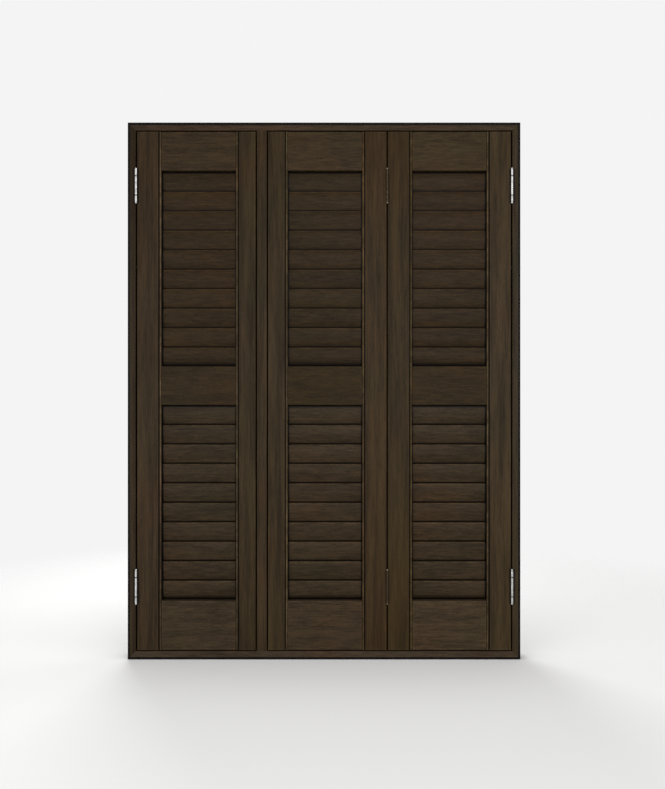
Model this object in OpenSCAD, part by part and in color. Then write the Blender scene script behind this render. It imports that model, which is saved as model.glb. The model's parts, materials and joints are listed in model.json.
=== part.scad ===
// Three-panel louvered window shutter in its own frame.
// The left panel hangs on the left of the frame and closes on a T-post.
// The middle panel folds on the right panel, which hangs on the right of the frame.
// Front faces -Y, +Z is up, and the origin is the middle of the frame's underside.

/* [Frame] */
// Width of the frame's front face
frame_face_w = 17; // [14:0.5:26]
// Depth of the frame from front to back
frame_depth = 46; // [42:1:60]
// How far the stop behind the panels covers their edges
stop_overlap = 11; // [7:0.5:15]
// Width of the T-post's front face
post_w = 21; // [16:0.5:36]
// Radius of the eased edges on the frame and the T-post
frame_ease = 1.6; // [0.6:0.1:2.4]

/* [Panels] */
// Thickness of the stiles
panel_t = 27; // [26:0.5:30]
// Clear width of a louver opening
opening_w = 155.5; // [110:0.5:240]
// Width of a stile that carries hinges
hinge_stile_w = 51; // [44:0.5:70]
// Width of a stile that closes on the T-post
closing_stile_w = 41.5; // [36:0.5:60]
// Height of the top rail
top_rail_h = 81; // [60:0.5:120]
// Height of the middle rail
mid_rail_h = 81; // [60:0.5:120]
// Height of the bottom rail
bottom_rail_h = 103.5; // [70:0.5:150]
// How far the rails sit behind the stiles' faces
rail_recess = 1; // [0.5:0.1:2]
// Width of the bead along the louver side of each stile
bead_w = 5; // [4:0.2:6]
// Width of the groove beside the bead
groove_w = 1.4; // [1:0.1:3]
// Depth of that groove
groove_d = 4; // [3:0.1:6]

/* [Louvers] */
// Width of a louver across its blade
louver_w = 47; // [45:0.5:49]
// Thickness of a louver at its middle
louver_t = 8.6; // [8:0.1:10]
// Radius of a louver's two edges
louver_edge_r = 2; // [1.6:0.1:2.4]
// How far each closed louver covers the next
louver_overlap = 6; // [5:0.25:7]
// Diameter of the pivot pin at each end of a louver
pivot_d = 6; // [4:0.25:7]
// Length of that pin inside the stile
pivot_len = 8; // [5:0.5:12]

/* [Tilt bar] */
// Thickness of the bar, across the panel
bar_t = 2; // [1.4:0.1:2.2]
// Width of the bar, front to back
bar_w = 6; // [4:0.25:6.5]
// Distance of the bar from the end of the louvers
bar_inset = 14; // [9:0.5:40]

/* [Hinges] */
// Length of the hinge leaves
hinge_h = 68; // [50:1:90]
// Diameter of the hinge barrel
barrel_d = 6; // [5:0.1:6.4]
// Diameter of the hinge pin
hinge_pin_d = 3; // [2:0.1:3.4]
// Thickness of a leaf
leaf_t = 1.1; // [0.7:0.05:1.3]
// Depth of a leaf behind the panel's face
leaf_depth = 16; // [10:0.25:16]
// Height of the upper hinge's middle below the frame's top
upper_hinge_drop = 133.5; // [90:0.5:200]
// Height of the lower hinge's middle above the frame's underside
lower_hinge_rise = 152.5; // [90:0.5:220]

/* [Gaps and fixings] */
// Gap at an edge that carries hinges
hinge_gap = 3; // [2.8:0.1:4]
// Gap at an edge that closes on the T-post
closing_gap = 2.5; // [2.4:0.1:4]
// Gap above and below the panels
end_gap = 2.5; // [1.5:0.1:4]
// Radius of a frame fixing hole
fixing_r = 2.5; // [1.5:0.1:3.5]
// Distance between the two fixing holes of one side
fixing_spacing = 520; // [300:5:560]

/* [Hidden] */
louver_count = 10;
// Clearances that stay the same at any size
running_play = 0.08;
louver_play = 1;
louver_end_gap = 0.2;
stop_gap = 1;
glue_line = 0.1;
knuckle_play = 0.4;
barrel_stand = 0.3;
sweep_play = 0.35;
arc_fn = 240;
round_fn = 48;

wood = [0.231, 0.192, 0.145];
wood_dark = [0.204, 0.165, 0.125];
chrome = [0.8, 0.8, 0.8];
bronze = [0.42, 0.34, 0.25];

// Louver blade: two wide arcs that run into the edge radius
edge_s = louver_w / 2 - louver_edge_r;
blade_half = louver_t / 2;
blade_r = (edge_s * edge_s / (blade_half - louver_edge_r) + louver_edge_r + blade_half) / 2;
blade_drop = blade_r - blade_half;
tangent_s = edge_s * blade_r / (blade_r - louver_edge_r);
edge_swell = 0.02; // stands the rounds a hair proud, so that they cross the faces cleanly
function half_thickness(s) = sqrt(blade_r * blade_r - s * s) - blade_drop;

// Louver spacing: closed louvers lean back by just enough to lap without touching
pitch = louver_w - louver_overlap;
closed_lean = asin((2 * half_thickness(pitch / 2) + louver_play) / pitch);
bank_h = louver_count * pitch;
first_drop = louver_w / 2 + 1.3;
louver_len = opening_w - 2 * louver_end_gap;
bore_r = pivot_d / 2 + running_play;
bore_depth = pivot_len + 1;

// Panel heights
panel_h = top_rail_h + mid_rail_h + bottom_rail_h + 2 * bank_h;
panel_z = frame_face_w + end_gap;
mid_rail_z = panel_z + bottom_rail_h + bank_h;
top_rail_z = mid_rail_z + mid_rail_h + bank_h;
upper_axis_z = top_rail_z - first_drop;
lower_axis_z = mid_rail_z - first_drop;
overall_h = panel_h + 2 * panel_z;

// Depths, front to back
front_y = -frame_depth / 2;
axis_y = front_y + panel_t / 2;
stop_t = frame_depth - panel_t - stop_gap;
stop_w = frame_face_w + hinge_gap + stop_overlap;
rail_t = panel_t - 2 * rail_recess;

// Panel widths and places
left_w = hinge_stile_w + opening_w + closing_stile_w;
middle_w = closing_stile_w + opening_w + hinge_stile_w;
right_w = 2 * hinge_stile_w + opening_w;
overall_w = 2 * frame_face_w + 3 * hinge_gap + 2 * closing_gap + post_w + left_w + middle_w + right_w;
left_x = -overall_w / 2 + frame_face_w + hinge_gap;
post_x = left_x + left_w + closing_gap;
middle_x = post_x + post_w + closing_gap;
right_x = middle_x + middle_w + hinge_gap;
right_end_x = right_x + right_w;
left_opening_x = left_x + hinge_stile_w;
middle_opening_x = middle_x + closing_stile_w;
right_opening_x = right_x + hinge_stile_w;

// Rail edges: a front lip hides the louver below its edge, a back lip the louver above
lip_clear = 2;
lip_h = 9;
back_lip_h = 8;
rail_ease = 0.8;

// Stile edges: the fold stiles lap so that no light passes between them
bead_r = bead_w / 2;
stile_ease = 0.9;
lap_t = 9;
lap_w = 8;
lap_play = 1;

// Tilt bar: a pin across a notch in each louver's back edge carries a tab of the bar
bar_pin_s = louver_w / 2 - 2.4;
bar_pin_r = 0.9;
bar_tab_r = 1.7;
bar_stand = half_thickness(bar_pin_s / 2) - bar_pin_s * sin(closed_lean) / 2 + 0.7;
bar_end = 3.5;
notch_w = bar_t + 0.5;
notch_s = bar_pin_s - bar_tab_r - 0.4;

// Hinges: five knuckles, the pin fixed in the leaf that has three
barrel_r = barrel_d / 2;
hinge_pin_r = hinge_pin_d / 2;
knuckles = 5;
knuckle_h = hinge_h / knuckles;
hinge_y = front_y - barrel_r - barrel_stand;
finial_r = 0.8 * barrel_r;
left_pin_x = left_x - hinge_gap / 2;
fold_pin_x = right_x - hinge_gap / 2;
right_pin_x = right_end_x + hinge_gap / 2;
hinge_zs = [lower_hinge_rise - hinge_h / 2, overall_h - upper_hinge_drop - hinge_h / 2];

// Countersink of a frame fixing hole
sink_r = 2 * fixing_r;

louver_numbers = [for (i = [1 : louver_count]) i];
function louver_name(panel, i) = str(panel, "_louver_", i < 10 ? "0" : "", i);
function panel_nodes(panel, stiles) = concat(
    [for (s = stiles) str(panel, "_", s)],
    [for (s = ["top_rail", "mid_rail", "bottom_rail", "hinge_leaves", "lower_louvers", "tilt_bar"])
        str(panel, "_", s)],
    [for (i = louver_numbers) louver_name(panel, i)]);

$fn = round_fn;

// Rectangle with eased corners, its corner at the origin
module eased_rect(w, d, r) {
    translate([r, 0]) square([w - 2 * r, d]);
    translate([0, r]) square([w, d - 2 * r]);
    for (x = [r, w - r], y = [r, d - r]) {
        translate([x, y]) circle(r);
    }
}

// Bar section with eased front corners and a square back
module bar_stock(w, d) {
    eased_rect(w, d, frame_ease);
    translate([0, d / 2]) square([w, d / 2]);
}

// Section of a frame member: its outer side at x = 0, its front at y = 0, the stop strip glued on behind
module frame_section() {
    bar_stock(frame_face_w, frame_depth - stop_t - glue_line);
    translate([0, frame_depth - stop_t]) eased_rect(stop_w, stop_t, frame_ease);
}

// Straight frame member up from the origin, its ends cut to a mitre
module frame_member(length) {
    reach = 2 * stop_w;
    intersection() {
        linear_extrude(length) frame_section();
        translate([0, frame_depth + 1, 0]) rotate([90, 0, 0]) linear_extrude(frame_depth + 2)
            polygon([[0, 0], [reach, reach], [reach, length - reach], [0, length]]);
    }
}

// Side member with two countersunk fixing holes that the closed panel hides
module frame_side() {
    difference() {
        frame_member(overall_h);
        for (side = [-1, 1]) {
            translate([-1, panel_t / 2, (overall_h + side * fixing_spacing) / 2]) rotate([0, 90, 0]) {
                cylinder(r = fixing_r, h = frame_face_w + 2);
                translate([0, 0, 1 + frame_face_w - sink_r + fixing_r])
                    cylinder(r1 = fixing_r, r2 = sink_r, h = sink_r - fixing_r);
            }
        }
    }
}

module frame_left() {
    color(wood) translate([-overall_w / 2, front_y, 0]) frame_side();
}

module frame_right() {
    color(wood) translate([overall_w / 2, front_y, 0]) mirror([1, 0, 0]) frame_side();
}

module frame_bottom() {
    color(wood) translate([overall_w / 2, front_y, 0]) rotate([0, -90, 0]) frame_member(overall_w);
}

module frame_top() {
    color(wood) translate([-overall_w / 2, front_y, overall_h]) rotate([0, 90, 0]) frame_member(overall_w);
}

// T-post: the stem stands between the frame's faces, the flange glued behind it between the stops
module t_post() {
    stem_d = frame_depth - stop_t;
    flange_side = closing_gap + stop_overlap;
    color(wood) translate([post_x, front_y, 0]) {
        translate([0, 0, frame_face_w]) linear_extrude(overall_h - 2 * frame_face_w)
            bar_stock(post_w, stem_d - glue_line);
        translate([-flange_side, stem_d, stop_w]) linear_extrude(overall_h - 2 * stop_w)
            eased_rect(post_w + 2 * flange_side, stop_t, frame_ease);
    }
}

// Stile section: outer edge at x = 0, louver side at x = w, with a bead and a groove on both faces
module stile_section(w) {
    bead_x = w - bead_r;
    difference() {
        eased_rect(w, panel_t, stile_ease);
        for (y = [-1, panel_t - bead_r]) {
            translate([w - bead_w - groove_w, y]) square([bead_w + groove_w + 1, bead_r + 1]);
        }
        for (y = [-1, panel_t - groove_d]) {
            translate([w - bead_w - groove_w, y]) square([groove_w, groove_d + 1]);
        }
    }
    for (y = [bead_r, panel_t - bead_r]) {
        translate([bead_x, y]) circle(bead_r);
    }
}

// Bores that carry the louvers' pivot pins, in the louver side of a stile
module pivot_bores(w) {
    for (z = [upper_axis_z, lower_axis_z], i = [0 : louver_count - 1]) {
        translate([w - bore_depth, panel_t / 2, z - panel_z - i * pitch]) rotate([0, 90, 0])
            cylinder(r = bore_r, h = bore_depth + 1);
    }
}

module stile(w) {
    difference() {
        linear_extrude(panel_h) stile_section(w);
        pivot_bores(w);
    }
}

// Stile with its outer edge at x and its louver side to the right
module stile_left_of(x, w) {
    color(wood) translate([x, front_y, panel_z]) stile(w);
}

// Stile with its outer edge at x and its louver side to the left
module stile_right_of(x, w) {
    color(wood) translate([x, front_y, panel_z]) mirror([1, 0, 0]) stile(w);
}

// Fold stile of the right panel: a tongue at the back laps behind the middle panel
module right_fold_stile() {
    stile_left_of(right_x, hinge_stile_w);
    color(wood) translate([right_x - lap_w, front_y + panel_t - lap_t, panel_z])
        cube([lap_w + stile_ease, lap_t, panel_h]);
}

// Fold stile of the middle panel: a rebate at the back takes the tongue
module middle_fold_stile() {
    edge_x = middle_x + middle_w;
    rebate_w = lap_w - hinge_gap + lap_play;
    difference() {
        stile_right_of(edge_x, hinge_stile_w);
        translate([edge_x - rebate_w, front_y + panel_t - lap_t - lap_play, panel_z - 1])
            cube([rebate_w + 1, lap_t + lap_play + 1, panel_h + 2]);
    }
}

// Rail section in depth and height, its front lower corner at the origin
module rail_section(h, louvers_above, louvers_below) {
    mid = rail_t / 2;
    difference() {
        union() {
            eased_rect(rail_t, h, rail_ease);
            if (louvers_below) {
                translate([mid + lip_clear, -back_lip_h])
                    square([rail_t - mid - lip_clear, back_lip_h + 2 * rail_ease]);
            }
        }
        if (louvers_above) {
            translate([mid - lip_clear, h - lip_h]) square([rail_t, lip_h + 1]);
        }
    }
}

module rail(opening_x, z, h, louvers_above, louvers_below) {
    color(wood) translate([opening_x, front_y + rail_recess, z]) rotate([90, 0, 90])
        linear_extrude(opening_w) rail_section(h, louvers_above, louvers_below);
}

module top_rail(opening_x) {
    rail(opening_x, top_rail_z, top_rail_h, false, true);
}

module mid_rail(opening_x) {
    rail(opening_x, mid_rail_z, mid_rail_h, true, true);
}

module bottom_rail(opening_x) {
    rail(opening_x, panel_z, bottom_rail_h, true, false);
}

// Blade section: two wide arcs, clipped where they run into the edge circles
module blade_section() {
    intersection() {
        translate([0, -blade_drop]) circle(blade_r, $fn = arc_fn);
        translate([0, blade_drop]) circle(blade_r, $fn = arc_fn);
        square([2 * tangent_s, louver_t + 1], center = true);
    }
    for (s = [-edge_s, edge_s]) {
        translate([s, 0]) circle(louver_edge_r + edge_swell);
    }
}

// Louver along X from its left end, axis on X, closed: upper edge forward, lower edge back
module louver(bar_x) {
    rotate([90 + closed_lean, 0, 0]) rotate([90, 0, 90]) {
        difference() {
            linear_extrude(louver_len) blade_section();
            translate([-louver_w, -louver_t, bar_x - notch_w / 2])
                cube([louver_w - notch_s, 2 * louver_t, notch_w]);
        }
        translate([0, 0, -louver_end_gap - pivot_len])
            cylinder(r = pivot_d / 2, h = louver_len + 2 * (louver_end_gap + pivot_len));
        translate([-bar_pin_s, 0, bar_x - notch_w / 2 - 1]) cylinder(r = bar_pin_r, h = notch_w + 2);
    }
}

// Tilt bar section in depth and height, its top pivot at the origin
module bar_section(pin_bore_r) {
    run = (louver_count - 1) * pitch;
    difference() {
        union() {
            translate([bar_stand, -run - bar_end]) square([bar_w, run + 2 * bar_end]);
            for (i = [0 : louver_count - 1]) {
                translate([0, -i * pitch]) circle(bar_tab_r);
                translate([0, -i * pitch - bar_tab_r]) square([bar_stand + 1, 2 * bar_tab_r]);
            }
        }
        if (pin_bore_r > 0) {
            for (i = [0 : louver_count - 1]) {
                translate([0, -i * pitch]) circle(pin_bore_r);
            }
        }
    }
}

// Tilt bar behind the louvers, at bar_x from their left end
module bar(opening_x, bar_x, top_axis_z, pin_bore_r) {
    back = bar_pin_s * sin(closed_lean);
    down = bar_pin_s * cos(closed_lean);
    translate([opening_x + louver_end_gap + bar_x - bar_t / 2, axis_y + back, top_axis_z - down])
        rotate([90, 0, 90]) linear_extrude(bar_t) bar_section(pin_bore_r);
}

module tilt_bar(opening_x, bar_x) {
    color(bronze) bar(opening_x, bar_x, upper_axis_z, bar_pin_r + running_play);
}

// Louver i of a bank, counted down from its top
module bank_louver(opening_x, bar_x, top_axis_z, i) {
    color(wood_dark) translate([opening_x + louver_end_gap, axis_y, top_axis_z - (i - 1) * pitch])
        louver(bar_x);
}

// Lower bank in one piece with its tilt bar
module lower_louvers(opening_x, bar_x) {
    for (i = louver_numbers) {
        bank_louver(opening_x, bar_x, lower_axis_z, i);
    }
    color(wood_dark) bar(opening_x, bar_x, lower_axis_z, 0);
}

// Hinge leaf on one side of a pin along Z: side is 1 to the right, -1 to the left
module hinge_leaf(side, own_knuckles, other_knuckles, has_pin) {
    plate_x = side > 0 ? hinge_gap / 2 - leaf_t : -hinge_gap / 2;
    difference() {
        union() {
            translate([plate_x, 0, 0]) cube([leaf_t, barrel_r + barrel_stand + leaf_depth, hinge_h]);
            for (k = own_knuckles) {
                translate([0, 0, k * knuckle_h + knuckle_play / 2])
                    cylinder(r = barrel_r, h = knuckle_h - knuckle_play);
            }
        }
        for (k = other_knuckles) {
            translate([0, 0, k * knuckle_h]) cylinder(r = barrel_r + sweep_play, h = knuckle_h);
        }
        if (!has_pin) {
            translate([0, 0, -1]) cylinder(r = hinge_pin_r + running_play, h = hinge_h + 2);
        }
    }
    if (has_pin) {
        cylinder(r = hinge_pin_r, h = hinge_h);
        for (z = [-finial_r / 2, hinge_h + finial_r / 2]) {
            translate([0, 0, z]) sphere(finial_r);
        }
    }
}

// Leaves that keep the pin, in the upper and lower hinge of one edge
module pin_leaves(pin_x, side) {
    for (z = hinge_zs) {
        translate([pin_x, hinge_y, z]) hinge_leaf(side, [0, 2, 4], [1, 3], true);
    }
}

// Leaves that turn on the pin, in the upper and lower hinge of one edge
module turning_leaves(pin_x, side) {
    for (z = hinge_zs) {
        translate([pin_x, hinge_y, z]) hinge_leaf(side, [1, 3], [0, 2, 4], false);
    }
}

module frame_hinges() {
    color(chrome) {
        pin_leaves(left_pin_x, -1);
        pin_leaves(right_pin_x, 1);
    }
}

module left_hinge_leaves() {
    color(chrome) turning_leaves(left_pin_x, 1);
}

module middle_hinge_leaves() {
    color(bronze) turning_leaves(fold_pin_x, -1);
}

module right_hinge_leaves() {
    color(chrome) turning_leaves(right_pin_x, -1);
    color(bronze) pin_leaves(fold_pin_x, 1);
}

// Pieces that every panel has: rails, louver banks and tilt bar
module panel_pieces(panel, opening_x, bar_x) {
    top_rail(opening_x);
    mid_rail(opening_x);
    bottom_rail(opening_x);
    lower_louvers(opening_x, bar_x);
    tilt_bar(opening_x, bar_x);
    for (i = louver_numbers) {
        bank_louver(opening_x, bar_x, upper_axis_z, i);
    }
}

frame_left();
frame_right();
frame_top();
frame_bottom();
t_post();
frame_hinges();
stile_left_of(left_x, hinge_stile_w);  // left_hinge_stile
stile_right_of(left_x + left_w, closing_stile_w);  // left_closing_stile
left_hinge_leaves();
stile_left_of(middle_x, closing_stile_w);  // middle_closing_stile
middle_fold_stile();
middle_hinge_leaves();
right_fold_stile();
stile_right_of(right_end_x, hinge_stile_w);  // right_hinge_stile
right_hinge_leaves();
panel_pieces("left", left_opening_x, bar_inset);
panel_pieces("middle", middle_opening_x, louver_len - bar_inset);
panel_pieces("right", right_opening_x, louver_len - bar_inset);
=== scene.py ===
import json
import math

import bmesh
import bpy
from mathutils import Matrix, Vector


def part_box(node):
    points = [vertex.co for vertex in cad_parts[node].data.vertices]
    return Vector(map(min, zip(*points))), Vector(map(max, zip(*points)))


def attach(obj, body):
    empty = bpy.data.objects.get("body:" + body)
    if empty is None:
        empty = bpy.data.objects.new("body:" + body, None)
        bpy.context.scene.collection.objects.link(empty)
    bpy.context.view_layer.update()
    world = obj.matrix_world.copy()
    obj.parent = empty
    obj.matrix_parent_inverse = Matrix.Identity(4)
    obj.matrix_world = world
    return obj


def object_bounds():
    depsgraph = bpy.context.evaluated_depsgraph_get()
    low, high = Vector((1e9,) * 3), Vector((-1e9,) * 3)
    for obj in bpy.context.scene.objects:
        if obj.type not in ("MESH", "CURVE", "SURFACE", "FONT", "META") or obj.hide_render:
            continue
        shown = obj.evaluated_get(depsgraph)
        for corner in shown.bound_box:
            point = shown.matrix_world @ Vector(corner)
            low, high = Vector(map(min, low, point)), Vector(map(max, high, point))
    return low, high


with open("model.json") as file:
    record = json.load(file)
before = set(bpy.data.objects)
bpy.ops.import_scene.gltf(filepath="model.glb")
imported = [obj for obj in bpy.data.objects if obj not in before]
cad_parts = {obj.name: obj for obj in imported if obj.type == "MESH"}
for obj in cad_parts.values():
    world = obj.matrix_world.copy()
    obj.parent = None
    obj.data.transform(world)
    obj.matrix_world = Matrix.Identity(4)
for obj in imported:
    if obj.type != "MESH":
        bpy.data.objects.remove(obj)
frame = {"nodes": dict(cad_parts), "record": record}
nodes = frame["nodes"]
panels = ("left", "middle", "right")
cadBox = [[float(v) for v in corner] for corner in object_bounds()]
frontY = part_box("frame_left")[0][1]  # frame and closed panels share this face
mmPerMetre = 1000
noiseMiddle = 0.5  # noises run from 0 to 1
print("frame loaded:", len(nodes), "pieces")


class Wire:  # one output socket, so that shader maths reads as an expression
    def __init__(self, finish, socket):
        self.finish = finish
        self.socket = socket

    def other(self, name):  # another output of the same node
        return Wire(self.finish, self.socket.node.outputs[name])

    def maths(self, operation, first, second):
        return self.finish.node("Math", {"operation": operation}, {0: first, 1: second})

    def __add__(self, value):
        return self.maths("ADD", self, value)

    def __sub__(self, value):
        return self.maths("SUBTRACT", self, value)

    def __rsub__(self, value):
        return self.maths("SUBTRACT", value, self)

    def __mul__(self, value):
        return self.maths("MULTIPLY", self, value)

    def __truediv__(self, value):
        return self.maths("DIVIDE", self, value)

    def __rtruediv__(self, value):
        return self.maths("DIVIDE", value, self)

    def __gt__(self, value):
        return self.maths("GREATER_THAN", self, value)

    def __lt__(self, value):
        return self.maths("LESS_THAN", self, value)

    def __abs__(self):
        return self.finish.node("Math", {"operation": "ABSOLUTE"}, {0: self})

    __radd__ = __add__
    __rmul__ = __mul__


class Finish:  # a node tree being filled
    def __init__(self, tree):
        self.tree = tree

    def node(self, kind, settings=None, sockets=None, out=0):
        made = self.tree.nodes.new("ShaderNode" + kind)
        for key, value in (settings or {}).items():
            setattr(made, key, value)
        for key, value in (sockets or {}).items():
            self.feed(made.inputs[key], value)
        return Wire(self, made.outputs[out])

    def feed(self, socket, value):
        if isinstance(value, Wire):
            self.tree.links.new(value.socket, socket)
        else:
            socket.default_value = value

    def place(self):  # where a point is at rest, in metres
        return self.node("TexCoord", out="Object")

    def axes(self, vector):
        parts = self.node("SeparateXYZ", None, {0: vector})
        return [parts.other(axis) for axis in "XYZ"]

    def lesser(self, first, second):
        return self.node("Math", {"operation": "MINIMUM"}, {0: first, 1: second})

    def greater(self, first, second):
        return self.node("Math", {"operation": "MAXIMUM"}, {0: first, 1: second})

    def fade(self, value, start, end):  # 0 at start, 1 at end, smooth between
        limits = {"Value": value, "From Min": start, "From Max": end}
        return self.node("MapRange", {"interpolation_type": "SMOOTHSTEP"}, limits)

    def blend(self, factor, first, second, how="MIX"):  # two colours
        settings = {"data_type": "RGBA", "blend_type": how}
        return self.node("Mix", settings, {0: factor, 6: first, 7: second}, 2)

    def tinted(self, factor, colour, tint):
        return self.blend(factor, colour, self.blend(1.0, colour, tint, "MULTIPLY"))

    def scaled(self, vector, factors):
        return self.node("VectorMath", {"operation": "MULTIPLY"}, {0: vector, 1: factors})

    def shifted(self, vector, offset):
        return self.node("VectorMath", {"operation": "ADD"}, {0: vector, 1: offset})

    def noise(self, vector, scale, detail=2.0, roughness=0.5, out="Fac"):
        sockets = {"Vector": vector, "Scale": scale, "Detail": detail, "Roughness": roughness}
        return self.node("TexNoise", {"noise_dimensions": "3D"}, sockets, out)

    def bump(self, shader, height, strength, depth):
        sockets = {"Strength": strength, "Distance": depth, "Height": height}
        self.feed(shader.inputs["Normal"], self.node("Bump", None, sockets))


def newMaterial(name):
    material = bpy.data.materials.new(name)
    material.use_nodes = True
    return material, Finish(material.node_tree), material.node_tree.nodes["Principled BSDF"]


def linear(tone, gain=1.0, less=0.0, least=0.002):  # screen colour 0 to 255 as shader values
    values = []
    for part in tone:
        c = part / 255
        value = c / 12.92 if c <= 0.04045 else ((c + 0.055) / 1.055) ** 2.4
        values.append(gain * max(value - less, least))
    return (*values, 1.0)


# stained wood: long figure, streaks and fibres along the grain, open pores, uneven stain
stain = {
    "sheen": 0.0075,  # what the lacquer's sheen adds to the stain
    "darkPart": 0.46,
    "lightPart": 1.38,
    "alongGrain": {"x": 0.10, "z": 0.045},  # how much slower the figure changes along the grain
    "parts": {"x": (0.26, 0.42, 0.32), "z": (0.50, 0.36, 0.14)},  # of figure, streaks and fibres
    "depthLimits": (0.34, 0.66),
    "seedShift": (0.37, 0.61, 0.23),  # from one plank's pattern to the next
    "waviness": 0.020,
    "waveNoise": (14.0, 1.0, 0.5),  # every noise: scale, detail, roughness
    "figureNoise": (60.0, 3.0, 0.55),
    "streakNoise": (330.0, 3.0, 0.6),
    "fibreNoise": (1500.0, 2.0, 0.6),
    "poreNoise": (900.0, 1.0, 0.5),
    "poreLimits": (0.60, 0.74),
    "poreStain": 0.55,
    "porePart": 0.30,
    "blotchNoise": (7.0, 2.0, 0.5),
    "redLimits": (0.50, 0.72),
    "greenLimits": (0.50, 0.28),
    "redTint": (1.11, 1.01, 0.96, 1.0),
    "greenTint": (0.91, 0.97, 0.92, 1.0),
    "roughness": 0.46,
    "depthRoughness": 0.10,
    "poreRoughness": 0.16,
    "specular": 0.05,
    "coatAndRimShade": 0.03,
    "coatRoughness": 0.32,
    "streakHeight": 0.5,
    "fibreHeight": 0.5,
    "poreHeight": 0.9,
    "bumpStrength": 0.6,
    "bumpDepth": 0.00010,
}
grainFactors = {
    "x": (stain["alongGrain"]["x"], 1.0, 1.0),
    "z": (1.0, 1.0, stain["alongGrain"]["z"]),
}


def woodLook(f, place, grain, tone, seed):  # colour, height and roughness of one plank
    start = f.shifted(place, [shift * seed for shift in stain["seedShift"]])
    drift = f.noise(f.scaled(start, grainFactors[grain]), *stain["waveNoise"], "Color")
    waves = f.scaled(f.shifted(drift, (-noiseMiddle,) * 3), (stain["waviness"],) * 3)
    grained = f.scaled(f.shifted(start, waves), grainFactors[grain])
    figure = f.noise(grained, *stain["figureNoise"])
    streak = f.noise(grained, *stain["streakNoise"])
    fibre = f.noise(grained, *stain["fibreNoise"])
    pore = f.fade(f.noise(grained, *stain["poreNoise"]), *stain["poreLimits"])
    figurePart, streakPart, fibrePart = stain["parts"][grain]
    mixed = figure * figurePart + streak * streakPart + fibre * fibrePart
    depth = f.fade(mixed, *stain["depthLimits"])
    dark = linear(tone, stain["darkPart"], stain["sheen"])
    light = linear(tone, stain["lightPart"], stain["sheen"])
    colour = f.blend(depth, dark, light)
    blotch = f.noise(start, *stain["blotchNoise"])
    colour = f.tinted(f.fade(blotch, *stain["redLimits"]), colour, stain["redTint"])
    colour = f.tinted(f.fade(blotch, *stain["greenLimits"]), colour, stain["greenTint"])
    colour = f.blend(pore * stain["poreStain"], colour, linear(tone, stain["porePart"]))
    height = streak * stain["streakHeight"] + fibre * stain["fibreHeight"] - pore * stain["poreHeight"]
    rough = stain["roughness"] + (noiseMiddle - depth) * stain["depthRoughness"]
    rough = rough + pore * stain["poreRoughness"]
    return colour, height, rough


def finishWood(f, shader, colour, height, rough):
    f.feed(shader.inputs["Base Color"], colour)
    f.feed(shader.inputs["Roughness"], rough)
    f.bump(shader, height, stain["bumpStrength"], stain["bumpDepth"])
    shader.inputs["Specular IOR Level"].default_value = stain["specular"]
    shader.inputs["Coat Weight"].default_value = stain["coatAndRimShade"]
    shader.inputs["Coat Roughness"].default_value = stain["coatRoughness"]


# arrises: painted shade along the very edge, and a painted highlight on a strip beside it
arris = {
    "lineEnd": 0.0011,
    "lineStart": 0.0005,
    "linePart": 0.12,
    "lineStrength": {"x": 0.75, "z": 0.10},  # painted shade, by grain: strong on rails, faint on stiles
    "edgeHighlightEnd": 0.0034,
    "edgeHighlightStart": 0.0014,
    "edgeHighlightTint": (1.42, 1.39, 1.33, 1.0),
    "wearAndHighlightNoise": (55.0, 3.0, 0.6),
    "wearAndHighlightLimits": (0.40, 0.64),
    "highlightLeast": 0.3,
}


def highlightPatches(f, place):  # a noise that breaks the painted highlights into patches
    least = arris["highlightLeast"]
    return f.fade(f.noise(place, *arris["wearAndHighlightNoise"]), *arris["wearAndHighlightLimits"]) * (1 - least) + least


def edgeReach(f, place, node):  # distance from the edges of a piece's box
    lowest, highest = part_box(node)
    reach = [f.lesser(v - lowest[i], highest[i] - v) for i, v in enumerate(f.axes(place))]
    nearest = f.lesser(reach[0], reach[1])
    further = f.greater(reach[0], reach[1])
    return f.greater(nearest, f.lesser(further, reach[2]))


def edgeArrises(f, place, node, grain, colour, tone, wearAndHighlight):
    reach = edgeReach(f, place, node)
    # painted shade on the edge line, painted highlight on the strip beside it
    line = f.fade(reach, arris["lineEnd"], arris["lineStart"])
    edgeHighlight = f.fade(reach, arris["edgeHighlightEnd"], arris["edgeHighlightStart"]) * (1 - line)
    colour = f.tinted(edgeHighlight * wearAndHighlight, colour, arris["edgeHighlightTint"])
    return f.blend(line * arris["lineStrength"][grain], colour, linear(tone, arris["linePart"]))


# outer edge of the frame: painted shade along the rim
outerEdge = {"end": 0.0054, "start": 0.0042, "depth": 0.0030, "part": 0.03, "strength": 0.97}
frameSides = {  # axis across each member, which way is outside, how much wider its painted rim shade is
    "frame_left": (0, -1, 0.0),
    "frame_right": (0, 1, 0.0),
    "frame_top": (2, 1, 0.0012),
    "frame_bottom": (2, -1, 0.0),
}


def edgeFrame(f, place, node, colour, tone):
    axis, side, wider = frameSides[node]
    across = f.axes(place)
    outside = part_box(node)[1 if side > 0 else 0][axis]
    inward = outside - across[axis] if side > 0 else across[axis] - outside
    # painted shade along the outer rim, on the front only
    coatAndRimShade = f.fade(inward, outerEdge["end"] + wider, outerEdge["start"] + wider)
    coatAndRimShade = coatAndRimShade * (across[1] < frontY + outerEdge["depth"]) * outerEdge["strength"]
    return f.blend(coatAndRimShade, colour, linear(tone, outerEdge["part"]))


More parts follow.
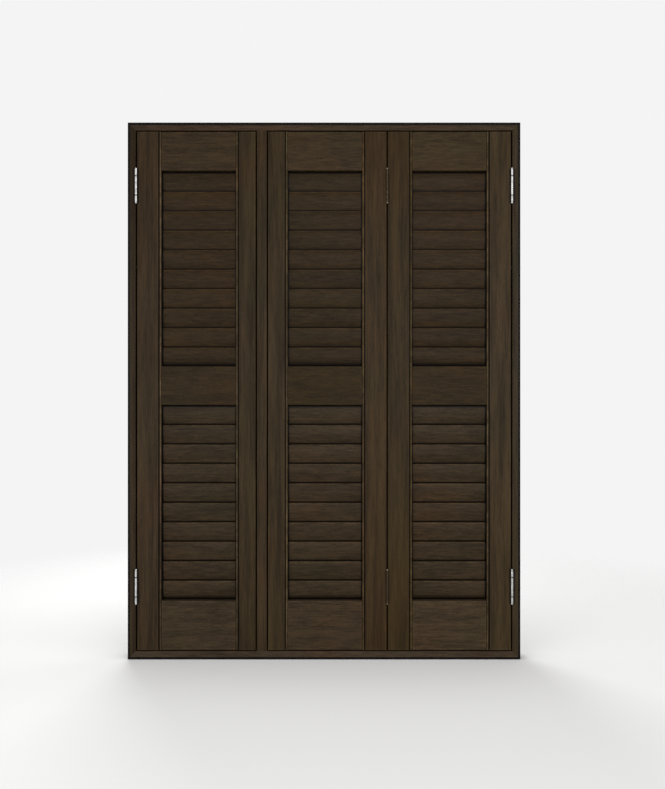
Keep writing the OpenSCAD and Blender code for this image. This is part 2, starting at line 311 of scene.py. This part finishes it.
# bead and groove along the louver side of a stile, and its cheek beside the louver ends: painted
# highlights on the bead's crown and the ridge past the groove, painted shade in the groove and on the
# cheek
moulding = {
    "beadWidth": 0.0050,
    "grooveWidth": 0.0014,
    "shadeSpread": 0.0004,  # how far the painted shade spreads out of the groove
    "crown": 0.0024,  # top of the bead, from the louver side
    "crownHalfWidth": 0.0021,
    "crownHighlightTint": (2.36, 2.66, 3.35, 1.0),
    "arrisWidth": 0.0026,
    "ridgeHighlightTint": (1.30, 1.28, 1.24, 1.0),
    "grooveShade": 0.96,
    "grooveShadePart": 0.05,
    "cheekDepth": 0.0003,
    "cheekPart": 0.06,
    "cheekRoughness": 0.5,
}
louverSides = {  # which way a stile's bead looks along X
    "left_hinge_stile": 1,
    "left_closing_stile": -1,
    "middle_closing_stile": 1,
    "middle_fold_stile": -1,
    "right_fold_stile": 1,
    "right_hinge_stile": -1,
}


def edgeStile(f, place, node, colour, rough, tone, wearAndHighlight):
    lowest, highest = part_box(node)
    x = f.axes(place)[0]
    inward = highest[0] - x if louverSides[node] > 0 else x - lowest[0]
    grooveEnd = moulding["beadWidth"] + moulding["grooveWidth"]
    # painted highlight on the ridge past the groove
    ridgeHighlight = f.fade(inward, grooveEnd + moulding["arrisWidth"], grooveEnd) * (inward > grooveEnd)
    colour = f.tinted(ridgeHighlight * wearAndHighlight, colour, moulding["ridgeHighlightTint"])
    # painted highlight on the bead's crown
    crown = f.fade(abs(inward - moulding["crown"]), moulding["crownHalfWidth"], 0.0)
    colour = f.tinted(crown * wearAndHighlight, colour, moulding["crownHighlightTint"])
    # painted shade in the groove
    shadeSpread = moulding["shadeSpread"]
    grooveShade = (inward > moulding["beadWidth"] - shadeSpread) * (inward < grooveEnd + shadeSpread)
    colour = f.blend(grooveShade * moulding["grooveShade"], colour, linear(tone, moulding["grooveShadePart"]))
    # painted shade on the stile's side face beside the louver ends
    cheek = inward < moulding["cheekDepth"]
    colour = f.blend(cheek, colour, linear(tone, moulding["cheekPart"]))
    return colour, rough + cheek * moulding["cheekRoughness"]


# hinges: where they sit, and painted shade on the wood around their barrels
hinge = {
    "height": 0.068,
    "knuckles": 5,
    "barrelRadius": 0.003,
    "leafFace": 0.0004,  # from the pin's middle
    "tipRadius": 0.0024,
}
hingeShade = {
    "end": {"frame": 0.0082, "stile": 0.0062},  # from the pin
    "start": {"frame": 0.0056, "stile": 0.0036},
    "over": 0.0016,
    "depth": 0.0020,
    "part": 0.08,
    "strength": 0.88,
}
leafHeights = sorted(v.co.z for v in nodes["left_hinge_leaves"].data.vertices)
middleHeight = (cadBox[0][2] + cadBox[1][2]) / 2
hingeBases = (leafHeights[0], min(z for z in leafHeights if z > middleHeight))
pinX = {
    "left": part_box("left_hinge_leaves")[0][0] + hinge["barrelRadius"],
    "fold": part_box("middle_hinge_leaves")[1][0] - hinge["barrelRadius"],
    "right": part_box("right_hinge_leaves")[1][0] - hinge["barrelRadius"],
}
hingeBeside = {
    "frame_left": "left",
    "left_hinge_stile": "left",
    "frame_right": "right",
    "right_hinge_stile": "right",
}


def hingeReach(f, z):  # distance from the middle of the nearer hinge
    middles = [base + hinge["height"] / 2 for base in hingeBases]
    return f.lesser(abs(z - middles[0]), abs(z - middles[1]))


def shadeAroundHinge(f, place, node, colour, tone):
    x, y, z = f.axes(place)
    half = hinge["height"] / 2
    # painted shade on the wood around each hinge barrel
    along = f.fade(hingeReach(f, z), half + 2 * hingeShade["over"], half + hingeShade["over"])
    kind = "frame" if node in frameSides else "stile"
    across = f.fade(abs(x - pinX[hingeBeside[node]]), hingeShade["end"][kind], hingeShade["start"][kind])
    shadedNearHinge = along * across * (y < frontY + hingeShade["depth"]) * hingeShade["strength"]
    return f.blend(shadedNearHinge, colour, linear(tone, hingeShade["part"]))


def makeWood(node, grain, tone, seed):
    material, f, shader = newMaterial("stained_wood_" + node)
    place = f.place()
    colour, height, rough = woodLook(f, place, grain, tone, seed)
    wearAndHighlight = highlightPatches(f, place)
    colour = edgeArrises(f, place, node, grain, colour, tone, wearAndHighlight)
    if node in frameSides:
        colour = edgeFrame(f, place, node, colour, tone)
    if node in louverSides:
        colour, rough = edgeStile(f, place, node, colour, rough, tone, wearAndHighlight)
    if node in hingeBeside:
        colour = shadeAroundHinge(f, place, node, colour, tone)
    finishWood(f, shader, colour, height, rough)
    return material


def dress(node, material):
    mesh = nodes[node].data
    mesh.materials.clear()
    mesh.materials.append(material)
    mesh.polygons.foreach_set("use_smooth", [True] * len(mesh.polygons))
    mesh.update()


# every wooden piece: its grain and the tone it is stained to
# the tones were matched to each piece's measured brightness, so painted light sits in them beside the
# stain: the frame lighter at the top and on the right
planks = {
    "frame_left": ("z", (52, 43, 33)),
    "frame_right": ("z", (58, 49, 38)),
    "frame_top": ("x", (67, 55, 44)),
    "frame_bottom": ("x", (66, 55, 45)),
    "t_post": ("z", (58, 48, 36)),
    "left_hinge_stile": ("z", (59, 48, 36)),
    "left_closing_stile": ("z", (58, 48, 35)),
    "middle_closing_stile": ("z", (58, 48, 35)),
    "middle_fold_stile": ("z", (59, 47, 33)),
    "right_fold_stile": ("z", (55, 45, 31)),
    "right_hinge_stile": ("z", (62, 51, 37)),
    "left_top_rail": ("x", (60, 49, 37)),
    "middle_top_rail": ("x", (61, 50, 37)),
    "right_top_rail": ("x", (61, 51, 37)),
    "left_mid_rail": ("x", (50, 41, 29)),
    "middle_mid_rail": ("x", (50, 40, 26)),
    "right_mid_rail": ("x", (50, 40, 26)),
    "left_bottom_rail": ("x", (62, 52, 40)),
    "middle_bottom_rail": ("x", (63, 52, 40)),
    "right_bottom_rail": ("x", (66, 55, 42)),
}
for seed, (node, (grain, tone)) in enumerate(planks.items()):
    dress(node, makeWood(node, grain, tone, seed + 1))
print("frame, post, stiles and rails stained:", len(planks))

# hinge metals: satin bright plate with a painted dark reflection on the flanks, and a dark bronze with
# bright tips
plate = {
    "bright": (0.50, 0.49, 0.475, 1.0),
    "dull": (0.33, 0.325, 0.31, 1.0),
    "flank": (0.060, 0.055, 0.050, 1.0),
    "flankStart": 0.0013,
    "flankEnd": 0.0024,
    "bronze": linear((54, 45, 34)),
    "bronzeWorn": linear((72, 61, 47)),
    "tip": linear((112, 102, 88)),
    "jointEnd": 0.0020,  # painted shade beside the joints of the end knuckles
    "jointStart": 0.0008,
    "jointStrength": 0.80,
    "smudgeNoise": (160.0, 3.0, 0.6),
    "dullLimits": (0.42, 0.70),
    "wearAndHighlightLimits": (0.50, 0.74),
    "turnedNoise": (700.0, 2.0, 0.6),
    "turnedStretch": (1.0, 1.0, 14.0),
    "roughness": 0.20,
    "bronzeRoughness": 0.18,  # more than the bright plate
    "smudgeRoughness": 0.16,
    "turnedRoughness": 0.06,
    "bumpStrength": 0.25,
    "bumpDepth": 0.00004,
}


def brightLook(f, x, z, smudge, pins):
    colour = f.blend(f.fade(smudge, *plate["dullLimits"]), plate["bright"], plate["dull"])
    endJoint = hinge["height"] * (0.5 - 1 / hinge["knuckles"])  # from the hinge's middle
    # painted shade at the end knuckles' joints
    paintedShade = f.fade(abs(hingeReach(f, z) - endJoint), plate["jointEnd"], plate["jointStart"])
    colour = f.blend(paintedShade * plate["jointStrength"], colour, plate["flank"])
    away = abs(x - pinX[pins[0]])
    for pin in pins[1:]:
        away = f.lesser(away, abs(x - pinX[pin]))
    # painted dark reflection on the flanks of the barrel
    return f.blend(f.fade(away, plate["flankStart"], plate["flankEnd"]), colour, plate["flank"])


def bronzeLook(f, z, smudge):
    colour = f.blend(f.fade(smudge, *plate["wearAndHighlightLimits"]), plate["bronze"], plate["bronzeWorn"])
    half = hinge["height"] / 2
    return f.blend(f.fade(hingeReach(f, z), half, half + hinge["tipRadius"] / 2), colour, plate["tip"])


def makeHingeMetal(name, brightPins, hasBronze):
    material, f, shader = newMaterial(name)
    place = f.place()
    x, _, z = f.axes(place)
    smudge = f.noise(place, *plate["smudgeNoise"])
    turned = f.noise(f.scaled(place, plate["turnedStretch"]), *plate["turnedNoise"])
    rough = plate["roughness"] + smudge * plate["smudgeRoughness"] + turned * plate["turnedRoughness"]
    if not hasBronze:
        colour = brightLook(f, x, z, smudge, brightPins)
    elif not brightPins:
        colour = bronzeLook(f, z, smudge)
        rough = rough + plate["bronzeRoughness"]
    else:  # both kinds of leaf on one panel
        atFold = x < (pinX["fold"] + pinX["right"]) / 2
        colour = f.blend(atFold, brightLook(f, x, z, smudge, brightPins), bronzeLook(f, z, smudge))
        rough = rough + atFold * plate["bronzeRoughness"]
    f.feed(shader.inputs["Base Color"], colour)
    f.feed(shader.inputs["Roughness"], rough)
    f.bump(shader, turned, plate["bumpStrength"], plate["bumpDepth"])
    shader.inputs["Metallic"].default_value = 1.0
    return material


brightPlate = makeHingeMetal("hinge_bright", ("left", "right"), False)
bronzePlate = makeHingeMetal("hinge_bronze", (), True)
dress("frame_hinges", brightPlate)
dress("left_hinge_leaves", brightPlate)
dress("middle_hinge_leaves", bronzePlate)
dress("right_hinge_leaves", makeHingeMetal("hinge_both", ("right",), True))
print("hinges plated")

# screws: a turned profile of radius and height, a cross recess in the head with its floor painted dark as
# shade
leafScrew = {
    "profile": ((0.0027, 0.0), (0.0023, 0.00018)),
    "recessDepth": 0.00015,
    "recessLength": 0.0014,
    "recessHalfWidth": 0.00034,
    "segments": 28,
    "rises": (0.010, 0.034, 0.058),  # above the leaf's lower end
    "behindFace": (0.0065, 0.0105, 0.0065),
    "turn": 0.5,  # radians from one screw to the next
}
fixingScrew = {
    "profile": ((0.0021, -0.0120), (0.0021, -0.0030), (0.0044, -0.0007), (0.0044, -0.0005)),
    "recessDepth": 0.0012,
    "recessLength": 0.0024,
    "recessHalfWidth": 0.00065,
    "segments": 36,
    "faceWidth": 0.017,  # of the frame member it goes through
    "turn": 0.7,
}


def crossOutline(length, half):
    corners = []
    for c, s in ((1, 0), (0, 1), (-1, 0), (0, -1)):  # four quarter turns
        for u, v in ((length, -half), (length, half), (half, half)):
            corners.append((u * c - v * s, u * s + v * c))
    return corners


def addScrew(bm, kind, centre, facing, twist):  # facing is which way along X the head looks
    spin = Matrix.Rotation(twist, 3, "X")

    def ring(outline, height):
        lift = Vector((facing * height, 0.0, 0.0))
        return [bm.verts.new(Vector(centre) + lift + spin @ Vector((0.0, u, v))) for u, v in outline]

    def circle(radius):
        steps = [2 * math.pi * i / kind["segments"] for i in range(kind["segments"])]
        return [(radius * math.cos(a), radius * math.sin(a)) for a in steps]

    top = kind["profile"][-1][1]
    rings = [ring(circle(radius), height) for radius, height in kind["profile"]]
    cross = crossOutline(kind["recessLength"], kind["recessHalfWidth"])
    mouth = ring(cross, top)
    floor = ring(cross, top - kind["recessDepth"])
    for lower, upper in [*zip(rings, rings[1:]), (floor, mouth)]:
        for i in range(len(lower)):
            bm.faces.new((lower[i - 1], lower[i], upper[i], upper[i - 1]))
    bm.faces.new(rings[0])
    bm.faces.new(floor).material_index = 1
    rim = []
    for loop in (rings[-1], mouth):
        rim += [bm.edges.get((loop[i - 1], loop[i])) for i in range(len(loop))]
    bmesh.ops.triangle_fill(bm, use_beauty=True, edges=rim)


def finishScrews(bm, name, body, material):
    bmesh.ops.recalc_face_normals(bm, faces=bm.faces[:])
    mesh = bpy.data.meshes.new(name)
    bm.to_mesh(mesh)
    bm.free()
    mesh.materials.append(material)
    mesh.materials.append(recessDark)
    piece = bpy.data.objects.new(name, mesh)
    bpy.context.scene.collection.objects.link(piece)
    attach(piece, body)


def makeLeafScrews(name, body, leaves, material):
    bm = bmesh.new()
    for pin, side in leaves:
        faceX = pinX[pin] + side * hinge["leafFace"]
        for base in hingeBases:
            for k, (rise, back) in enumerate(zip(leafScrew["rises"], leafScrew["behindFace"])):
                addScrew(bm, leafScrew, (faceX, frontY + back, base + rise), -side, leafScrew["turn"] * k)
    finishScrews(bm, name, body, material)


def makeFixingScrews(name, body, material):
    bm = bmesh.new()
    for mount in frame["record"]["mounts"]:
        if mount["kind"] != "bolt_pattern":
            continue
        outX, y, z = mount["pos_m"]
        facing = 1 if outX < 0 else -1
        reach = mount["dims"]["spacing_y_mm"] / mmPerMetre / 2
        for k, rise in enumerate((-reach, reach)):
            centre = (outX + facing * fixingScrew["faceWidth"], y, z + rise)
            addScrew(bm, fixingScrew, centre, facing, fixingScrew["turn"] * (k + 1))
    finishScrews(bm, name, body, material)


# painted shade for the floor of each screw's cross recess
recess = {
    "dark": linear((26, 23, 20)),
    "pale": linear((58, 52, 45)),
    "shadeNoise": (2400.0, 2.0, 0.6),
    "roughness": 0.5,
    "shadeRoughness": 0.3,
    "metallic": 0.6,
}


def makeRecessDark():
    material, f, shader = newMaterial("screw_recess")
    paintedShade = f.noise(f.place(), *recess["shadeNoise"])
    f.feed(shader.inputs["Base Color"], f.blend(paintedShade, recess["dark"], recess["pale"]))
    f.feed(shader.inputs["Roughness"], recess["roughness"] + paintedShade * recess["shadeRoughness"])
    shader.inputs["Metallic"].default_value = recess["metallic"]
    return material


steel = {
    "bright": (0.44, 0.43, 0.41, 1.0),
    "dull": (0.20, 0.19, 0.17, 1.0),
    "spotNoise": (420.0, 3.0, 0.6),
    "dullLimits": (0.40, 0.72),
    "roughness": 0.28,
    "spotRoughness": 0.25,
}


def makeScrewSteel():
    material, f, shader = newMaterial("screw_steel")
    spots = f.noise(f.place(), *steel["spotNoise"])
    colour = f.blend(f.fade(spots, *steel["dullLimits"]), steel["bright"], steel["dull"])
    f.feed(shader.inputs["Base Color"], colour)
    f.feed(shader.inputs["Roughness"], steel["roughness"] + spots * steel["spotRoughness"])
    shader.inputs["Metallic"].default_value = 1.0
    return material


recessDark = makeRecessDark()
makeLeafScrews("frame_hinge_screws", "frame", (("left", -1), ("right", 1)), brightPlate)
makeLeafScrews("left_hinge_screws", "left_panel", (("left", 1),), brightPlate)
makeLeafScrews("right_hinge_screws", "right_panel", (("right", -1),), brightPlate)
makeLeafScrews("right_fold_screws", "right_panel", (("fold", 1),), bronzePlate)
makeLeafScrews("middle_fold_screws", "middle_panel", (("fold", -1),), bronzePlate)
makeFixingScrews("frame_fixing_screws", "frame", makeScrewSteel())
print("screws driven")

# tilt bar: a flat strip with a dark bronze coat, brushed along its length
barCoat = {
    "colour": linear((66, 56, 44)),
    "wearAndHighlight": linear((120, 104, 84)),
    "wearAndHighlightNoise": (90.0, 3.0, 0.6),
    "wearAndHighlightLimits": (0.58, 0.78),
    "wornPart": 0.5,
    "brushNoise": (1800.0, 2.0, 0.6),
    "brushStretch": (1.0, 1.0, 0.03),
    "brushPart": 0.2,
    "roughness": 0.38,
    "brushRoughness": 0.14,
    "metallic": 0.85,
    "bumpStrength": 0.3,
    "bumpDepth": 0.00004,
}


def barLook(f, place):
    brushed = f.noise(f.scaled(place, barCoat["brushStretch"]), *barCoat["brushNoise"])
    wearAndHighlight = f.fade(f.noise(place, *barCoat["wearAndHighlightNoise"]), *barCoat["wearAndHighlightLimits"])
    bare = wearAndHighlight * barCoat["wornPart"] + brushed * barCoat["brushPart"]
    rough = barCoat["roughness"] + brushed * barCoat["brushRoughness"]
    return f.blend(bare, barCoat["colour"], barCoat["wearAndHighlight"]), rough, brushed


def makeBarMetal():
    material, f, shader = newMaterial("bar_metal")
    colour, rough, brushed = barLook(f, f.place())
    f.feed(shader.inputs["Base Color"], colour)
    f.feed(shader.inputs["Roughness"], rough)
    f.bump(shader, brushed, barCoat["bumpStrength"], barCoat["bumpDepth"])
    shader.inputs["Metallic"].default_value = barCoat["metallic"]
    return material


# louvers: the same wood along the blade, each blade of its own plank
blade = {
    # each bank's tone was matched to its measured brightness, so the darker upper bank holds painted
    # shade
    "tone": {"upper": (52, 42, 30), "lower": (57, 48, 37)},
    "seed": {"upper": 41, "lower": 51},  # of the first panel's planks
    "count": 10,  # in an upper bank
    "paler": (1.09, 1.07, 1.05, 1.0),
    "deeper": (0.92, 0.93, 0.94, 1.0),
    "pitch": 0.041,
    "axisY": -0.0095,
    "pinLength": 0.0082,  # pivot pin beyond each end
    "bladeShadePart": 0.06,  # painted shade
    "lapStart": 0.0050,  # above the next blade's edge
    "lapEnd": 0.0018,
    "lapStrength": {"upper": 0.80, "lower": 0.95},
    "lapHidden": 0.0068,
    "edgeEnd": 0.0036,
    "edgeStart": 0.0014,
    "bladeHighlightTint": (1.62, 1.58, 1.50, 1.0),
    "endStart": 0.0030,
    "endEnd": 0.0012,
    "endStrength": 0.95,
    "headStart": 0.0048,  # below the top of the bank
    "headEnd": 0.0026,
    "footStart": 0.0120,  # above the rail below the bank
    "footEnd": 0.0010,
    "barDepth": 0.0061,
    "barPlay": 0.0001,
}


def bladeLightAndShade(f, place, colour, tone, bank, top, ends, sill):
    x, y, z = f.axes(place)
    pitch = blade["pitch"]
    below = pitch * f.node("Math", {"operation": "FRACT"}, {0: (top - z) / pitch})
    # painted shade: a strip above each lap, the hidden lower edge, the blade ends, under the rail above
    # the bank and above the rail below
    lap = f.fade(below, pitch - blade["lapStart"], pitch - blade["lapEnd"]) * blade["lapStrength"][bank]
    hidden = (below < blade["lapHidden"]) * (y > blade["axisY"])
    fromEnd = f.lesser(x - (ends[0] + blade["pinLength"]), (ends[1] - blade["pinLength"]) - x)
    ending = f.fade(fromEnd, blade["endStart"], blade["endEnd"]) * blade["endStrength"]
    head = f.fade(top - z, blade["headStart"], blade["headEnd"])
    foot = f.fade(z - sill, blade["footStart"], blade["footEnd"])
    # painted highlight on each blade's exposed top edge
    bladeHighlight = f.fade(below, blade["edgeEnd"], blade["edgeStart"]) * (y < blade["axisY"])
    colour = f.tinted(bladeHighlight * highlightPatches(f, place), colour, blade["bladeHighlightTint"])
    bladeShade = f.greater(f.greater(f.greater(lap, hidden), ending), f.greater(head, foot))
    return f.blend(bladeShade, colour, linear(tone, blade["bladeShadePart"]))


def makeLouverWood(panel, bank, topNode, railBelow, order):
    tone = blade["tone"][bank]
    seed = blade["seed"][bank] + order
    material, f, shader = newMaterial("louver_wood_" + panel + "_" + bank)
    place = f.place()
    colour, height, rough = woodLook(f, place, "x", tone, seed)
    plank = f.node("ObjectInfo", out="Random")
    colour = f.blend(plank, f.tinted(1.0, colour, blade["deeper"]), f.tinted(1.0, colour, blade["paler"]))
    lowest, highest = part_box(topNode)
    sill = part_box(railBelow)[1][2]
    colour = bladeLightAndShade(f, place, colour, tone, bank, highest[2], (lowest[0], highest[0]), sill)
    if bank == "lower":  # the bank's own bar stands behind its blades
        x, y, _ = f.axes(place)
        barLow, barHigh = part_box(panel + "_tilt_bar")
        onBar = (x > barLow[0] - blade["barPlay"]) * (x < barHigh[0] + blade["barPlay"])
        onBar = onBar * (y > barHigh[1] - blade["barDepth"])
        barColour, barRough, _ = barLook(f, place)
        colour = f.blend(onBar, colour, barColour)
        rough = rough + (barRough - rough) * onBar
        f.feed(shader.inputs["Metallic"], onBar * barCoat["metallic"])
    finishWood(f, shader, colour, height, rough)
    return material


barMetal = makeBarMetal()
for order, panel in enumerate(panels):
    upper = makeLouverWood(panel, "upper", panel + "_louver_01", panel + "_mid_rail", order)
    for i in range(1, blade["count"] + 1):
        dress(f"{panel}_louver_{i:02d}", upper)
    bank = panel + "_lower_louvers"
    dress(bank, makeLouverWood(panel, "lower", bank, panel + "_bottom_rail", order))
    dress(panel + "_tilt_bar", barMetal)
print("louvers and bars finished")

# floor that fades into the pale surroundings
floorFinish = {
    "radius": 1.6,
    "fadeFrom": 0.75,
    "fadeTo": 1.568,
    "below": 0.0005,  # under the frame
    "segments": 96,
    "tone": (0.90, 0.90, 0.90, 1.0),
    "speckTone": (0.93, 0.93, 0.93, 1.0),
    "speckScale": 400.0,
    "roughness": 0.85,
    "specular": 0.1,
}


def makeFloor():
    bm = bmesh.new()
    sizes = {"radius": floorFinish["radius"], "segments": floorFinish["segments"]}
    bmesh.ops.create_circle(bm, cap_ends=True, **sizes)
    mesh = bpy.data.meshes.new("floor")
    bm.to_mesh(mesh)
    bm.free()
    floor = bpy.data.objects.new("floor", mesh)
    bpy.context.scene.collection.objects.link(floor)
    floor.location = (0.0, 0.0, cadBox[0][2] - floorFinish["below"])
    material, f, shader = newMaterial("floor")
    place = f.place()
    away = f.node("VectorMath", {"operation": "LENGTH"}, {0: place}, "Value")
    speckle = f.noise(place, floorFinish["speckScale"])
    f.feed(shader.inputs["Base Color"], f.blend(speckle, floorFinish["tone"], floorFinish["speckTone"]))
    f.feed(shader.inputs["Alpha"], f.fade(away, floorFinish["fadeTo"], floorFinish["fadeFrom"]))
    shader.inputs["Roughness"].default_value = floorFinish["roughness"]
    shader.inputs["Specular IOR Level"].default_value = floorFinish["specular"]
    mesh.materials.append(material)


makeFloor()

# pale surroundings: seen white, while they light the part at a plain level
surround = {
    "seen": (0.905, 0.905, 0.905, 1.0),
    "seenStrength": 1.0,
    "light": (1.0, 0.99, 0.97, 1.0),
    "lightStrength": 0.26,
}


def makeWorld():
    world = bpy.data.worlds.new("surroundings")
    bpy.context.scene.world = world
    world.use_nodes = True
    f = Finish(world.node_tree)
    isCamera = f.node("LightPath", out="Is Camera Ray")
    isMirrored = f.greater(isCamera.other("Is Glossy Ray"), isCamera.other("Is Transmission Ray"))
    seen = f.greater(isCamera, isMirrored)
    lit = {"Color": surround["light"], "Strength": surround["lightStrength"]}
    shown = {"Color": surround["seen"], "Strength": surround["seenStrength"]}
    lighting = f.node("Background", None, lit)
    pale = f.node("Background", None, shown)
    mixed = f.node("MixShader", None, {0: seen, 1: lighting, 2: pale})
    f.feed(world.node_tree.nodes["World Output"].inputs["Surface"], mixed)


makeWorld()
print("floor and surroundings laid")

# soft studio light: a broad key on the right, a fill on the left, one above and one behind
lamps = {
    "key": {"at": (0.55, -2.70, 0.85), "size": 1.6, "power": 34.0},
    "fill": {"at": (-1.30, -2.30, 0.60), "size": 1.6, "power": 20.0},
    "above": {"at": (0.05, -0.20, 3.20), "size": 1.4, "power": 44.0},
    "behind": {"at": (-0.60, 2.20, 1.50), "size": 1.6, "power": 40.0},
}
aim = Vector((0.0, 0.0, 0.58))

for name, lamp in lamps.items():
    light = bpy.data.lights.new(name, "AREA")
    light.shape = "SQUARE"
    light.size = lamp["size"]
    light.energy = lamp["power"]
    lightObject = bpy.data.objects.new(name, light)
    lightObject.location = lamp["at"]
    lightObject.rotation_euler = (aim - Vector(lamp["at"])).to_track_quat("-Z", "Y").to_euler()
    bpy.context.scene.collection.objects.link(lightObject)
print("lamps set:", len(lamps))

# camera square to the front, a little right of the middle
shot = {
    "mmPerPixel": 2.0935,
    "distance": 1.80,  # to the front of the frame
    "imageHeight": 789,
    "sensorHeight": 36.0,
    "right": 0.0177,
    "height": 0.5547,
    "clipStart": 0.05,
}


def makeCamera():
    camera = bpy.data.cameras.new("camera")
    camera.sensor_fit = "VERTICAL"
    camera.sensor_height = shot["sensorHeight"]
    focalPixels = shot["distance"] / (shot["mmPerPixel"] / mmPerMetre)
    camera.lens = focalPixels * shot["sensorHeight"] / shot["imageHeight"]
    camera.clip_start = shot["clipStart"]
    cameraObject = bpy.data.objects.new("camera", camera)
    cameraObject.location = (shot["right"], frontY - shot["distance"], shot["height"])
    cameraObject.rotation_euler = (math.radians(90), 0.0, 0.0)
    bpy.context.scene.collection.objects.link(cameraObject)
    bpy.context.scene.camera = cameraObject


makeCamera()
bpy.context.scene.view_settings.view_transform = "Standard"
print("camera and light ready")
